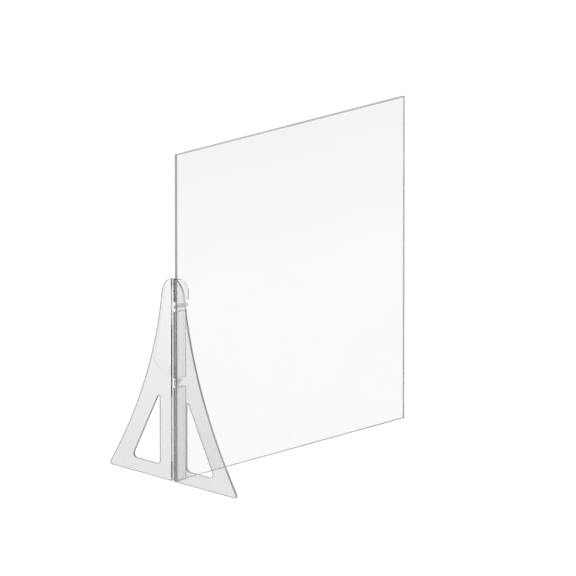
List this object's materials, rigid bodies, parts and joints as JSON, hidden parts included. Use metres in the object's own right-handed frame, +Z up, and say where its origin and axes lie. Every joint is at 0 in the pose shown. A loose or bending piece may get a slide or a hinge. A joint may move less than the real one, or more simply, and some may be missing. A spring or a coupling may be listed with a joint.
{
  "type": "sneeze guard",
  "caption": "Free-standing clear sneeze guard: a tall flat acrylic panel held at one end in a moulded A-frame stand, with an empty front slot for the neighbouring panel.",
  "frame": {"origin": "centre of the footprint, on the table", "axes": "+Z up, +X along the panel from the stand to the panel's free end, Y across the stand; the XZ plane is the plane of symmetry"},
  "size_m": [0.5928, 0.3236, 0.61],
  "materials": {
    "clear_acrylic": "clear cast acrylic sheet with flame-polished edges",
    "clear_polycarbonate": "clear injection-moulded polycarbonate, faintly warm grey in its thickness",
    "clear_channel": "clear moulded channel, glossy",
    "clear_grip": "clear moulded plastic, slightly frosted"
  },
  "bodies": {
    "stand": {"stand_frame": "clear_polycarbonate", "lower_sleeve": "clear_channel", "middle_sleeve": "clear_channel", "top_clip": "clear_channel", "upper_grip_bars": "clear_grip", "lower_grip_gussets": "clear_grip"},
    "panel": {"guard_panel": "clear_acrylic"}
  },
  "joints": [
    {"name": "panel_lift", "type": "slide", "parent": "stand", "child": "panel", "axis": [0, 0, 1], "range_m": [0, 0.385]}
  ]
}
